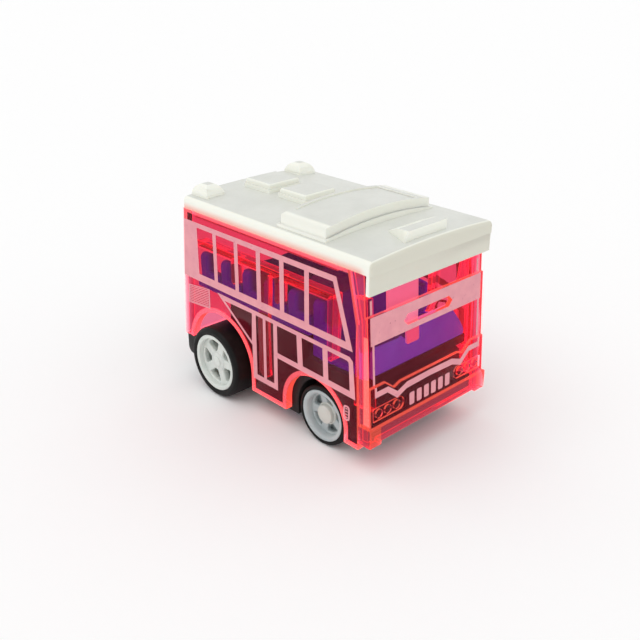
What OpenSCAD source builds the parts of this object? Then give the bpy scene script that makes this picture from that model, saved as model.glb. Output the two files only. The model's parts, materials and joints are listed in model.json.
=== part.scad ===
// Pull-back toy bus with a clear body, a lift-on roof, a seat insert and a spring motor.
// Millimetres. The front faces -Y, +Z is up, and the wheels stand on z = 0.

/* [Body] */
// Width over the clear sides
body_w = 32.2; // [32:0.1:32.4]
// Wall of the clear mouldings
wall = 1.5; // [1.4:0.05:1.6]
// Length over bumper and tail
overall_l = 55.6; // [55.4:0.1:56]
// Height of the lower edge of the sides
sill_z = 4.1; // [3.9:0.1:4.3]
// Height of the top edge of the sides
eaves_z = 38.2; // [38:0.1:38.4]
// Height of the tail's lower edge
tail_z = 9.4; // [9.3:0.1:9.8]

/* [Roof] */
// Roof width
roof_w = 32.8; // [32.6:0.1:33]
// Roof length with the visor
roof_l = 52; // [51.8:0.1:52.2]
// Thickness of the roof at its edge
roof_edge = 2.4; // [2.2:0.1:2.6]
// Rise of the roof across its width
roof_crown = 0.7; // [0.6:0.1:0.9]
// Height of the visor's lower edge
visor_z = 34.7; // [34.6:0.1:35]

/* [Wheels] */
// Rear tyre radius
rear_r = 7.6; // [7.5:0.05:7.7]
// Rear rim radius
rear_rim_r = 6.1; // [6:0.05:6.2]
// Rear tyre width
rear_tyre_w = 7.7; // [7.5:0.1:7.8]
// Width over the rear tyres
rear_track = 37; // [36.8:0.1:37.2]
// Front tyre radius
front_r = 6.1; // [6:0.05:6.2]
// Front rim radius
front_rim_r = 5.26; // [5.2:0.02:5.3]
// Front tyre width
front_tyre_w = 5.2; // [5:0.1:5.3]
// Width over the front tyres
front_track = 30.2; // [30:0.1:30.4]
// Place of the rear axle along the bus
rear_y = 14.85; // [14.7:0.05:15]
// Place of the front axle along the bus
front_y = -13.8; // [-13.9:0.05:-13.7]
// Spokes of a rear wheel
rear_spokes = 5; // [4:1:6]
// Spokes of a front wheel
front_spokes = 5; // [3:1:6]

/* [Cabin] */
// Rows of seats
seat_rows = 6; // [5:1:6]
// Distance between seat rows
seat_pitch = 6.85; // [6.8:0.05:6.9]
// Height of the seat backs above the floor
seat_back_h = 6; // [5:0.5:7]

/* [Motor] */
// Gear module
gear_module = 0.4; // [0.38:0.01:0.4]
// Teeth of the pinion on the rear axle
axle_teeth = 10; // [10:1:10]
// Teeth of the transfer gear's wheel
wheel_teeth = 22; // [22:1:22]
// Teeth of the transfer gear's pinion
small_teeth = 10; // [10:1:10]
// Teeth of the spring gear
spring_teeth = 24; // [24:1:24]
// Turns of the mainspring
spring_turns = 5; // [4:1:5]

/* [Hidden] */
$fn = 64;

clear_pink = [0.93, 0.33, 0.47, 0.6];
roof_white = [0.9, 0.91, 0.87];
seat_purple = [0.48, 0.27, 0.63];
base_black = [0.1, 0.1, 0.1];
hub_white = [0.86, 0.88, 0.86];
tyre_black = [0.12, 0.12, 0.12];
gear_white = [0.9, 0.9, 0.85];
steel_grey = [0.7, 0.71, 0.73];

// Small gap between mouldings that are assembled against each other
seat_gap = 0.05;
// Space beyond a solid, so that a cut goes right through
past = 1;

front_end = -overall_l / 2;
rear_end = overall_l / 2;
half_w = body_w / 2;
inner_w = half_w - wall;

// Side view of the body: the tail leans out towards its foot, the nose edge breaks below the screen
tail_top_y = rear_end - 2.1;
nose_foot_y = -24.4;
nose_break = [-23.35, 28.5];
nose_top_y = -21.1;
seam = 0.25;

// Raked face of the front panel, given by its place at two heights
face_low = [-26.9, 10];
face_high = [-25.1, 38.2];
face_rake = atan((face_high.x - face_low.x) / (face_high.y - face_low.y));

rear_z = rear_r;
front_z = front_r;
rear_arch = [rear_y + 0.35, rear_z + 0.4];
rear_arch_r = 9.8;
front_arch = [front_y + 0.9, front_z + 0.2];
front_arch_r = 7.9;

// Ledge, gussets and ribs inside the clear sides
ledge_z = [30.4, 31.6];
ledge_y = [-15.6, 23.2];
ledge_in = 2.4;
ledge_mid_z = (ledge_z[0] + ledge_z[1]) / 2;
gusset_ys = [11.5, -1.5];
gusset_foot_z = 25.3;
gusset_in = 2.3;
gusset_t = 1.2;
door_rib_y = [1, 4];
door_rib_in = 1.2;
door_rib_foot_z = 9.5;
post_y = -15.8;
post_foot_z = 18.8;

// Chassis
floor_z = 3;
floor_t = 1;
base_w = 14.3;
base_wall = 1.2;
base_y = [-21.3, 13.2];
base_top_z = 21.2;
base_front_top_z = 17;
base_step_y = -9.9;
nose_w = 12;
nose_front_y = -24.4;
// The base is cut away below the nose, behind the bumper
nose_floor_z = 5;
nose_shoulder_w = 2.6;
nose_shoulder_z = 14.8;
nose_top_w = 9.2;
// Width of the way from the tray into the nose
nose_way = 7.9;
flange_y = -25.2;
flange_z = 8.8;
rib_slot_z = 7.3;
bay_gap = 0.4;
stop_y = [-4.95, -3.85];
stop_z = 8;
// Windows through the floor, ahead of the motor and beside it
front_window_x = 4.6;
front_window_y = [-12.3, -6.4];
side_window_x = [7.5, 12.5];
side_window_y = [-4, 3.4];
rear_well_r = 8.9;
rear_well_x = 10.2;
front_well_r = 7.2;
front_well_x = 9.4;
well_wall = 1;
axle_r = 1;
front_axle_r = 0.9;
running_gap = 0.05;
press_gap = 0.02;
rear_block_w = 9.6;
tail_bumper_y = 23.9;
tail_bumper_z = [4.6, 9.1];
tail_bumper_w = 15.6;
tail_corner_r = 1.5;
tail_root_y = 23.4;

// Screws
screw_ys = [-19.5, 20.8];
screw_shank_r = 0.75;
screw_head_r = 1.6;
screw_head_h = 0.8;
screw_l = 7;
post_r = 1.9;
screw_boss_r = 2.6;
screw_boss_top_z = 5.4;
screw_hole_gap = 0.3;
screw_head_z = floor_z + 0.15;
cross_l = 2;
cross_w = 0.4;
cross_depth = 0.4;

// Motor
case_w = 6.8;
case_wall = 0.9;
case_z = [4.05, 17.7];
case_y = [-3.65, 18.65];
case_corner_r = 2.5;
gear_gap = 0.1;
axle_gear = [rear_y, rear_z];
transfer_rise = 3.6;
mesh_1 = gear_module * (axle_teeth + wheel_teeth) / 2 + gear_gap;
mesh_2 = gear_module * (small_teeth + spring_teeth) / 2 + gear_gap;
transfer_at = axle_gear + [-sqrt(mesh_1 * mesh_1 - transfer_rise * transfer_rise), transfer_rise];
spring_at = transfer_at - [mesh_2, 0];
mesh_1_angle = atan2(transfer_at.y - axle_gear.y, transfer_at.x - axle_gear.x);
wheel_x = [2.6, 4.4];
spring_gear_x = [0, 1.4];
pivot_r = 0.8;
pivot_end_x = 6.5;
pinion_x = [2.4, 4.6];
small_gear_x0 = -0.3;
arbor_r = 1.2;
arbor_x0 = -5.5;
spring_x = [-5.2, -1.2];
spring_r = [1.6, 4.6];
spring_strip = 0.18;

// Points of a rounded-corner outline in (u, v) are squares and circles, so that arcs stay true
module rounded_rect(u0, u1, v0, v1, r) {
    translate([u0 + r, v0]) square([u1 - u0 - 2 * r, v1 - v0]);
    translate([u0, v0 + r]) square([u1 - u0, v1 - v0 - 2 * r]);
    for (u = [u0 + r, u1 - r], v = [v0 + r, v1 - r]) {
        translate([u, v]) circle(r);
    }
}

// Draws a (y, z) outline from x0 to x1
module along_x(x0, x1) {
    translate([x0, 0, 0]) rotate([90, 0, 90]) linear_extrude(x1 - x0) children();
}

// Draws an (x, z) outline from y0 to y1
module along_y(y0, y1) {
    translate([0, y1, 0]) rotate([90, 0, 0]) linear_extrude(y1 - y0) children();
}

// Box between two corners
module block(low, high) {
    translate(low) cube(high - low);
}

// Cylinder along X between x0 and x1, centred on a (y, z) place
module rod_x(place, r, x0, x1) {
    translate([x0, place.x, place.y]) rotate([0, 90, 0]) cylinder(h = x1 - x0, r = r);
}

// Repeats the right-hand half on the left
module both_sides() {
    children();
    mirror([1, 0, 0]) children();
}

// Body shell

function tail_y(z) = rear_end - (z - tail_z) / (eaves_z - tail_z) * (rear_end - tail_top_y);

module body_outline() {
    polygon([
        [nose_foot_y, sill_z], nose_break, [nose_top_y, eaves_z],
        [tail_top_y, eaves_z], [rear_end, tail_z], [rear_arch.x, tail_z], [rear_arch.x, sill_z]
    ]);
}

module body_hollow() {
    polygon([
        [front_end - past, sill_z - past], [front_end - past, eaves_z + past],
        [tail_y(eaves_z + past) - wall, eaves_z + past], [tail_y(sill_z - past) - wall, sill_z - past]
    ]);
}

module wheel_arch(place, r) {
    along_x(-half_w - past, half_w + past) {
        translate(place) circle(r);
        translate([place.x - r, -past]) square([2 * r, place.y + past]);
    }
}

// Inner ribs of the right-hand side
module side_ribs() {
    block([inner_w - ledge_in, ledge_y[0], ledge_z[0]], [inner_w + wall / 2, ledge_y[1], ledge_z[1]]);
    for (y = gusset_ys) {
        along_x(inner_w - gusset_in, inner_w + wall / 2) {
            translate([y - gusset_t / 2, gusset_foot_z + gusset_t / 2])
                square([gusset_t, ledge_mid_z - gusset_foot_z - gusset_t / 2]);
            translate([y, gusset_foot_z + gusset_t / 2]) circle(gusset_t / 2);
        }
    }
    rib_mid = (door_rib_y[0] + door_rib_y[1]) / 2;
    rib_r = (door_rib_y[1] - door_rib_y[0]) / 2;
    along_x(inner_w - door_rib_in, inner_w + wall / 2) {
        translate([door_rib_y[0], door_rib_foot_z])
            square([2 * rib_r, ledge_mid_z - door_rib_foot_z]);
        translate([rib_mid, door_rib_foot_z]) circle(rib_r);
    }
    block([inner_w - ledge_in, post_y - gusset_t / 2, post_foot_z],
          [inner_w + wall / 2, post_y + gusset_t / 2, ledge_z[1]]);
}

module body_shell() {
    color(clear_pink) {
        difference() {
            along_x(-half_w, half_w) body_outline();
            along_x(-inner_w, inner_w) body_hollow();
            wheel_arch(rear_arch, rear_arch_r);
            wheel_arch(front_arch, front_arch_r);
        }
        both_sides() side_ribs();
    }
}

// Front panel

function face_y(z) =
    face_low.x + (z - face_low.y) / (face_high.y - face_low.y) * (face_high.x - face_low.x);

panel_foot_z = 5.95;
tongue_z = [12, 33];
tongue_x = [13.3, 14.45];
tongue_y = -21.8;
tongue_in = wall * 0.7;
tongue_root_y = [-25.6, -24.75];
tongue_root_z = [12.5, 27];
bumper_w = 33.3;
bumper_z = [panel_foot_z, 9.75];
bumper_back_y = -24.7;
bumper_foot_w = 3;
bumper_foot_h = 0.65;
relief = 0.4;
band_top_z = 30.5;
slot_half_l = 6.6;
slot_z = [26.4, 28.3];
slot_depth = 0.7;
lamp_xs = [9.1, 11.45, 13.8];
lamp_z = 12;
lamp_r = 0.85;
lamp_pocket = [7.2, 15.3];
lamp_pocket_z = [10.7, 13.3];

// Zigzag top of the lower front, right-hand half, from the middle outwards
zigzag_end = half_w + past;
zigzag = [[0, 16.3], [8.1, 16.3], [9.8, 15.7], [12.2, 17.55], [zigzag_end, 17.5]];

// Places (x, height) outlines on the raked face, from depth d0 to depth d1 behind it
module on_face(d0, d1) {
    translate([0, face_low.x, face_low.y]) rotate([-face_rake, 0, 0])
        translate([0, d1, -face_low.y]) rotate([90, 0, 0]) linear_extrude(d1 - d0) children();
}

// Side view of the panel, with the whole face as far out as its lower front
module flank_outline() {
    polygon([
        [face_y(panel_foot_z) - relief, panel_foot_z], [face_y(eaves_z) - relief, eaves_z],
        [nose_top_y - seam, eaves_z], nose_break - [seam, 0], [nose_foot_y - seam, panel_foot_z]
    ]);
}

module panel_hollow() {
    polygon([
        [face_y(sill_z) + wall, sill_z], [face_y(eaves_z + past) + wall, eaves_z + past],
        [nose_top_y + past, eaves_z + past], [nose_top_y + past, sill_z]
    ]);
}

// Area of the face above the zigzag
module upper_front_outline() {
    mirrored = [for (i = [len(zigzag) - 1 : -1 : 1]) [-zigzag[i].x, zigzag[i].y]];
    polygon(concat(mirrored, zigzag, [[zigzag_end, eaves_z + past], [-zigzag_end, eaves_z + past]]));
}

module lamp_pocket_outline() {
    r = (lamp_pocket_z[1] - lamp_pocket_z[0]) / 2;
    translate([lamp_pocket[0] + r, lamp_pocket_z[0]])
        square([lamp_pocket[1] - lamp_pocket[0] - r, 2 * r]);
    translate([lamp_pocket[0] + r, lamp_pocket_z[0] + r]) circle(r);
}

module slot_outline() {
    mid = (slot_z[0] + slot_z[1]) / 2;
    tip = (slot_z[1] - slot_z[0]) / 2;
    polygon([
        [-slot_half_l, mid], [-slot_half_l + tip, slot_z[1]], [slot_half_l - tip, slot_z[1]],
        [slot_half_l, mid], [slot_half_l - tip, slot_z[0]], [-slot_half_l + tip, slot_z[0]]
    ]);
}

module front_panel() {
    color(clear_pink) {
        difference() {
            union() {
                along_x(-half_w, half_w) flank_outline();
                block([-bumper_w / 2, front_end, bumper_z[0]], [bumper_w / 2, bumper_back_y, bumper_z[1]]);
            }
            along_x(-inner_w, inner_w) panel_hollow();
            on_face(-relief - past, 0) upper_front_outline();
            // The screen lies a step behind the band below it
            on_face(-past, relief)
                translate([-half_w - past, band_top_z]) square([body_w + 2 * past, eaves_z]);
            on_face(-past, slot_depth) slot_outline();
            both_sides() on_face(-relief - past, 0) lamp_pocket_outline();
            // The bumper's lower edge is raised between its two corner feet
            block([-bumper_w / 2 + bumper_foot_w, front_end - past, panel_foot_z - past],
                  [bumper_w / 2 - bumper_foot_w, bumper_back_y, panel_foot_z + bumper_foot_h]);
        }
        both_sides() {
            along_x(tongue_x[0], tongue_x[1]) polygon([
                [face_y(tongue_z[0]) + tongue_in, tongue_z[0]],
                [face_y(tongue_z[1]) + tongue_in, tongue_z[1]],
                [tongue_y, tongue_z[1]], [tongue_y, tongue_z[0]]
            ]);
            block([tongue_x[0], tongue_root_y[0], tongue_root_z[0]],
                  [inner_w + wall / 2, tongue_root_y[1], tongue_root_z[1]]);
            for (x = lamp_xs) {
                on_face(-relief, wall / 2) translate([x, lamp_z]) circle(lamp_r);
            }
        }
    }
}

// Roof

roof_front_y = -26.5;
roof_under_z = eaves_z + seat_gap;
roof_side_z = roof_under_z + roof_edge;
roof_top_z = roof_side_z + roof_crown;
// The visor lies this far behind the roof's front edge
visor_set = 0.25;
visor_t = 0.8;
lip_x = 14.35;
lip_y = [-17.2, 23.6];
lip_z = 36.3;
lip_t = 1;
// Cooling unit, a little to the left of the middle
pod_mid_x = -0.9;
pod_half = 13.7;
pod_y = [-14.1, -2.6];
pod_edge_z = 43;
pod_crown = 1.25;
pod_step = 0.55;
pod_step_drop = 1.8;
pod_border = [2.7, 0.6];
pod_recess = 0.3;
hatch_l = 7.8;
hatch_w = 8.4;
hatch_ys = [16.6, 6.1];
hatch_top_z = 43.1;
hatch_step = 0.25;
hatch_step_drop = 0.95;
lamp_vault_at = [12.4, 22];
lamp_vault_half = [2.2, 2.6];
lamp_vault_top_z = 43.3;
scoop_x = [-4.7, 4.9];
scoop_foot_x = -6.8;
scoop_rear_x = -2.6;
scoop_y = [-24.7, -17];
scoop_crest_y = -22.4;
scoop_front_z = 43.1;
scoop_crest_z = 43;

function arch_r(half, rise) = (half * half + rise * rise) / (2 * rise);

// Solid below an arch across the width, from y0 to y1, with its edges at half-width at edge_z
module below_arch(half, edge_z, rise, y0, y1, low_z) {
    r = arch_r(half, rise);
    intersection() {
        block([-half, y0, low_z], [half, y1, edge_z + rise + past]);
        translate([0, y1 + past, edge_z + rise - r]) rotate([90, 0, 0])
            cylinder(h = y1 - y0 + 2 * past, r = r, $fn = 360);
    }
}

module roof_pod() {
    low_z = roof_under_z + past;
    translate([pod_mid_x, 0, 0]) {
        below_arch(pod_half + pod_step, pod_edge_z - pod_step_drop, pod_crown,
                   pod_y[0] - pod_step, pod_y[1] + pod_step, low_z);
        difference() {
            below_arch(pod_half, pod_edge_z, pod_crown, pod_y[0], pod_y[1], low_z);
            difference() {
                block([-pod_half + pod_border.x, pod_y[0] + pod_border.y, roof_under_z],
                      [pod_half - pod_border.x, pod_y[1] - pod_border.y, pod_edge_z + pod_crown + past]);
                below_arch(pod_half, pod_edge_z - pod_recess, pod_crown,
                           pod_y[0] - past, pod_y[1] + past, roof_under_z - past);
            }
        }
    }
}

module roof_hatch(y) {
    block([-hatch_w / 2, y - hatch_l / 2, roof_under_z + past],
          [hatch_w / 2, y + hatch_l / 2, hatch_top_z - hatch_step_drop]);
    block([-hatch_w / 2 + hatch_step, y - hatch_l / 2 + hatch_step, roof_under_z + past],
          [hatch_w / 2 - hatch_step, y + hatch_l / 2 - hatch_step, hatch_top_z]);
}

// Upright outline with a round top, centred on at
module vault_outline(at, half) {
    low_z = roof_under_z + past;
    round_z = lamp_vault_top_z - half;
    translate([at, round_z]) circle(half);
    translate([at - half, low_z]) square([2 * half, round_z - low_z]);
}

module roof_lamp() {
    low = lamp_vault_at - lamp_vault_half;
    high = lamp_vault_at + lamp_vault_half;
    intersection() {
        along_y(low.y - past, high.y + past) vault_outline(lamp_vault_at.x, lamp_vault_half.x);
        along_x(low.x - past, high.x + past) vault_outline(lamp_vault_at.y, lamp_vault_half.y);
    }
}

// Low box at the front edge, with a sloping back and a sloping left side that tapers to the rear
module roof_scoop() {
    low_z = roof_under_z + past;
    intersection() {
        along_x(scoop_foot_x - past, scoop_x[1] + past) polygon([
            [scoop_y[0], low_z], [scoop_y[0], scoop_front_z], [scoop_crest_y, scoop_crest_z],
            [scoop_y[1], roof_side_z], [scoop_y[1], low_z]
        ]);
        along_y(scoop_y[0] - past, scoop_y[1] + past) polygon([
            [scoop_foot_x, low_z], [scoop_foot_x, roof_side_z], [scoop_x[0], scoop_front_z + past],
            [scoop_x[1], scoop_front_z + past], [scoop_x[1], low_z]
        ]);
        translate([0, 0, low_z]) linear_extrude(scoop_front_z) polygon([
            [scoop_foot_x, scoop_y[0] - past], [scoop_x[1], scoop_y[0] - past],
            [scoop_x[1], scoop_y[1] + past], [scoop_rear_x, scoop_y[1] + past]
        ]);
    }
}

module roof_lid() {
    roof_back_y = roof_front_y + roof_l;
    color(roof_white) {
        below_arch(roof_w / 2, roof_side_z, roof_crown, roof_front_y, roof_back_y, roof_under_z);
        block([-roof_w / 2, roof_front_y + visor_set, visor_z],
              [roof_w / 2, roof_front_y + visor_set + visor_t, roof_under_z + past]);
        difference() {
            block([-lip_x, lip_y[0], lip_z], [lip_x, lip_y[1], roof_under_z + past / 2]);
            block([-lip_x + lip_t, lip_y[0] + lip_t, lip_z - past],
                  [lip_x - lip_t, lip_y[1] - lip_t, roof_under_z]);
        }
        roof_pod();
        for (y = hatch_ys) {
            roof_hatch(y);
        }
        both_sides() roof_lamp();
        roof_scoop();
    }
}

// Cabin insert

deck_z = base_top_z + seat_gap;
deck_t = 1.15;
deck_y = [-9.65, 24.3];
deck_w = 14.2;
cab_deck_z = base_front_top_z + seat_gap;
cab_w = 13.1;
dash_y = -24.3;
dash_t = 1.2;
dash_left_z = [22.4, 22.9];
dash_left_x = -12.6;
dash_top_z = 24.2;
// Slope of the dashboard's right-hand end, from its foot up
dash_slope = [[13.1, 18.5], [11.9, 20.4], [10.6, 22], [8.8, dash_top_z]];
aisle_x = [-4.9, -0.9];
aisle_z = 21.3;
aisle_corner_r = 0.8;
rib_gap = 0.3;
seat_first_y = 23.3;
seat_x = [10.4, 13.05];
seat_back_t = 1.8;
seat_corner_r = 1.2;
cushion_d = 3.1;
cushion_h = 2;
// Partition behind the driver's place
partition_x = [-8, 5.2];

// Dashboard seen from the front, with the gap for the aisle and the stepped right-hand block
module dash_outline() {
    difference() {
        polygon(concat([[-cab_w, cab_deck_z], [cab_w, cab_deck_z]], dash_slope, [
            [aisle_x[1], dash_top_z], [aisle_x[1], dash_left_z[1]],
            [dash_left_x, dash_left_z[1]], [-cab_w, dash_left_z[0]]
        ]));
        rounded_rect(aisle_x[0], aisle_x[1], aisle_z, dash_top_z + 2 * aisle_corner_r, aisle_corner_r);
    }
}

module seat(y) {
    top = deck_z + deck_t + seat_back_h;
    along_y(y - seat_back_t / 2, y + seat_back_t / 2) {
        rounded_rect(seat_x[0], seat_x[1], deck_z + deck_t - 2 * seat_corner_r, top, seat_corner_r);
    }
    block([seat_x[0], y - seat_back_t / 2 - cushion_d, deck_z + deck_t / 2],
          [seat_x[1], y, deck_z + deck_t + cushion_h]);
}

module screw_post(y, top_z) {
    translate([0, y, screw_boss_top_z + seat_gap])
        cylinder(h = top_z - screw_boss_top_z - seat_gap, r = post_r);
}

module cabin_insert() {
    color(seat_purple) difference() {
        union() {
            block([-deck_w, deck_y[0], deck_z], [deck_w, deck_y[1], deck_z + deck_t]);
            block([-cab_w, base_step_y - deck_t, cab_deck_z],
                  [cab_w, base_step_y - seat_gap, deck_z + deck_t]);
            block([-cab_w, base_step_y - deck_t, deck_z], [cab_w, deck_y[0] + past, deck_z + deck_t]);
            block([-cab_w, dash_y, cab_deck_z], [cab_w, base_step_y - seat_gap, cab_deck_z + deck_t]);
            along_y(dash_y, dash_y + dash_t) dash_outline();
            intersection() {
                both_sides() for (i = [0 : seat_rows - 1]) {
                    seat(seat_first_y - i * seat_pitch);
                }
                block([-deck_w, dash_y, deck_z + deck_t / 4], [deck_w, deck_y[1], eaves_z]);
            }
            // The front row stands on the cab's lower floor
            cab_seat_y = seat_first_y - (seat_rows - 1) * seat_pitch;
            both_sides()
                block([seat_x[0], cab_seat_y - seat_back_t / 2 - cushion_d, cab_deck_z + deck_t / 2],
                      [seat_x[1], base_step_y - deck_t + seat_gap, deck_z + deck_t + cushion_h]);
            block([partition_x[0], base_step_y - deck_t, deck_z + deck_t / 2],
                  [partition_x[1], deck_y[0], deck_z + deck_t + seat_back_h]);
            screw_post(screw_ys[0], cab_deck_z + deck_t / 2);
            screw_post(screw_ys[1], deck_z + deck_t / 2);
        }
        both_sides()
            block([inner_w - door_rib_in - rib_gap, door_rib_y[0] - rib_gap, deck_z - past],
                  [deck_w + past, door_rib_y[1] + rib_gap, deck_z + deck_t + past]);
        for (y = screw_ys) {
            translate([0, y, floor_z])
                cylinder(h = screw_l + past, r = screw_shank_r + running_gap);
        }
    }
}

// Chassis

module tray() {
    difference() {
        block([-base_w, base_y[0], floor_z], [base_w, base_y[1], base_top_z]);
        block([-base_w + base_wall, base_y[0] + base_wall, floor_z + floor_t],
              [base_w - base_wall, base_y[1] - base_wall, base_top_z + past]);
        block([-base_w - past, base_y[0] - past, base_front_top_z],
              [base_w + past, base_step_y, base_top_z + past]);
        // Motor bay opening in the rear wall
        block([-case_w - bay_gap, base_y[1] - base_wall - past, floor_z + floor_t],
              [case_w + bay_gap, base_y[1] + past, case_z[1] + bay_gap]);
        // Way into the nose
        block([-nose_way, base_y[0] - past, nose_floor_z + base_wall],
              [nose_way, base_y[0] + base_wall + past, base_front_top_z + past]);
    }
}

module nose_outline(inset) {
    w = nose_w - inset;
    polygon([
        [-w, nose_floor_z + inset], [w, nose_floor_z + inset], [w, nose_shoulder_z - inset / 2],
        [w - nose_shoulder_w, base_front_top_z], [-w + nose_shoulder_w, base_front_top_z],
        [-w, nose_shoulder_z - inset / 2]
    ]);
}

module nose() {
    difference() {
        union() {
            along_y(nose_front_y, base_y[0] + base_wall) nose_outline(0);
            block([-base_w, flange_y, nose_floor_z], [base_w, base_y[0] + past, flange_z]);
        }
        along_y(nose_front_y + base_wall, base_y[0] + base_wall + past) nose_outline(base_wall);
        block([-nose_top_w, nose_front_y + base_wall, nose_floor_z + base_wall],
              [nose_top_w, base_y[0] + base_wall + past, base_front_top_z + past]);
    }
}

module tail() {
    block([-rear_block_w, base_y[1] - past, floor_z],
          [rear_block_w, rear_end - tail_corner_r, floor_z + floor_t]);
    difference() {
        along_x(-tail_bumper_w, tail_bumper_w) {
            translate([tail_bumper_y, tail_bumper_z[0]])
                square([rear_end - tail_corner_r - tail_bumper_y, tail_bumper_z[1] - tail_bumper_z[0]]);
            translate([tail_bumper_y, tail_bumper_z[0] + tail_corner_r])
                square([rear_end - tail_bumper_y, tail_bumper_z[1] - tail_bumper_z[0] - tail_corner_r]);
            translate([rear_end - tail_corner_r, tail_bumper_z[0] + tail_corner_r]) circle(tail_corner_r);
        }
        block([-tail_bumper_w + base_wall, tail_bumper_y - past, tail_bumper_z[0] + base_wall],
              [tail_bumper_w - base_wall, rear_end - base_wall, tail_bumper_z[1] + past]);
    }
    block([-rear_block_w, tail_root_y, floor_z],
          [rear_block_w, tail_bumper_y + base_wall, tail_bumper_z[0] + base_wall]);
}

// Wall round a wheel, within the tray's own box
module well_wall_solid(place, r, x0) {
    intersection() {
        union() {
            rod_x(place, r + well_wall, x0 - base_wall, base_w);
            block([x0 - base_wall, place.x - r - well_wall, floor_z],
                  [base_w, place.x + r + well_wall, place.y]);
        }
        block([-base_w, base_y[0], floor_z], [base_w, base_y[1], base_top_z]);
    }
}

module well_cut(place, r, x0) {
    rod_x(place, r, x0, base_w + 5);
    block([x0, place.x - r, floor_z - past], [base_w + 5, place.x + r, place.y]);
}

module chassis() {
    rear_place = [rear_y, rear_z];
    front_place = [front_y, front_z];
    color(base_black) difference() {
        union() {
            tray();
            nose();
            tail();
            both_sides() {
                well_wall_solid(rear_place, rear_well_r, rear_well_x);
                well_wall_solid(front_place, front_well_r, front_well_x);
            }
            for (y = screw_ys) {
                translate([0, y, floor_z]) cylinder(h = screw_boss_top_z - floor_z, r = screw_boss_r);
            }
            // Stop in front of the motor
            block([-case_w, stop_y[0], floor_z + floor_t / 2], [case_w, stop_y[1], stop_z]);
        }
        block([-front_window_x, front_window_y[0], floor_z - past],
              [front_window_x, front_window_y[1], floor_z + floor_t + past]);
        both_sides() {
            block([side_window_x[0], side_window_y[0], floor_z - past],
                  [side_window_x[1], side_window_y[1], floor_z + floor_t + past]);
            well_cut(rear_place, rear_well_r, rear_well_x);
            well_cut(front_place, front_well_r, front_well_x);
            block([inner_w - door_rib_in - rib_gap, door_rib_y[0] - rib_gap, rib_slot_z],
                  [base_w + past, door_rib_y[1] + rib_gap, base_top_z + past]);
        }
        rod_x(front_place, front_axle_r + running_gap, -front_well_x - past, front_well_x + past);
        // Room for the cabin's front screw post in the nose's floor
        translate([0, screw_ys[0], screw_boss_top_z])
            cylinder(h = nose_floor_z + base_wall + past - screw_boss_top_z, r = post_r + rib_gap);
        for (y = screw_ys) {
            translate([0, y, floor_z - past])
                cylinder(h = screw_boss_top_z + past, r = screw_shank_r + screw_hole_gap);
            translate([0, y, floor_z - past])
                cylinder(h = screw_head_z + screw_head_h - floor_z + seat_gap + past,
                         r = screw_head_r + screw_hole_gap);
        }
    }
}

module chassis_screws() {
    color(steel_grey) for (y = screw_ys) {
        translate([0, y, screw_head_z]) difference() {
            union() {
                cylinder(h = screw_head_h, r = screw_head_r);
                cylinder(h = screw_l, r = screw_shank_r);
            }
            for (turn = [0, 90]) {
                rotate([0, 0, turn])
                    block([-cross_l / 2, -cross_w / 2, -past], [cross_l / 2, cross_w / 2, cross_depth]);
            }
        }
    }
}

// Spring motor

function involute(angle) = tan(angle) - angle * PI / 180;

pressure_angle = 25;
addendum = 0.8;
dedendum = 1.15;
tooth_thinning = 0.12;
flank_steps = 5;

// Half the angle that a tooth spans at radius r
function tooth_half_angle(teeth, r) =
    let (base_r = gear_module * teeth / 2 * cos(pressure_angle))
    let (at = acos(min(1, base_r / r)))
    90 / teeth * (1 - tooth_thinning) + (involute(pressure_angle) - involute(at)) * 180 / PI;

function gear_points(teeth) =
    let (pitch_r = gear_module * teeth / 2)
    let (root_r = pitch_r - dedendum * gear_module, tip_r = pitch_r + addendum * gear_module)
    [
        for (i = [0 : teeth - 1], k = [0 : 2 * flank_steps + 1])
            let (rising = k <= flank_steps)
            let (step = rising ? k : 2 * flank_steps + 1 - k)
            let (r = root_r + (tip_r - root_r) * step / flank_steps)
            let (side = rising ? -1 : 1)
            let (a = 360 / teeth * i + side * tooth_half_angle(teeth, r))
            r * [cos(a), sin(a)]
    ];

// Gear on a (y, z) place, turned so that one tooth points along angle
module gear(teeth, place, angle, x0, x1) {
    along_x(x0, x1) translate(place) rotate(angle) polygon(gear_points(teeth));
}

module axle_pinion() {
    color(gear_white) difference() {
        gear(axle_teeth, axle_gear, mesh_1_angle, pinion_x[0], pinion_x[1]);
        rod_x(axle_gear, axle_r + press_gap, 0, case_w);
    }
}

module transfer_gear() {
    color(gear_white) {
        gear(wheel_teeth, transfer_at, mesh_1_angle + 180 + 180 / wheel_teeth, wheel_x[0], wheel_x[1]);
        gear(small_teeth, transfer_at, 180, small_gear_x0, wheel_x[0] + seat_gap);
        rod_x(transfer_at, pivot_r, -pivot_end_x, pivot_end_x);
    }
}

module spring_gear() {
    color(gear_white) {
        gear(spring_teeth, spring_at, 180 / spring_teeth, spring_gear_x[0], spring_gear_x[1]);
        rod_x(spring_at, arbor_r, arbor_x0, spring_gear_x[0] + seat_gap);
        rod_x(spring_at, pivot_r, -pivot_end_x, pivot_end_x);
    }
}

function spiral(turn, offset) =
    let (r = spring_r[0] + (spring_r[1] - spring_r[0]) * turn / spring_turns + offset)
    r * [cos(360 * turn), sin(360 * turn)];

module mainspring() {
    steps = 24 * spring_turns;
    inner = [for (i = [0 : steps]) spiral(i / 24, -spring_strip / 2)];
    outer = [for (i = [steps : -1 : 0]) spiral(i / 24, spring_strip / 2)];
    color(steel_grey) along_x(spring_x[0], spring_x[1]) translate(spring_at) polygon(concat(inner, outer));
}

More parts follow.
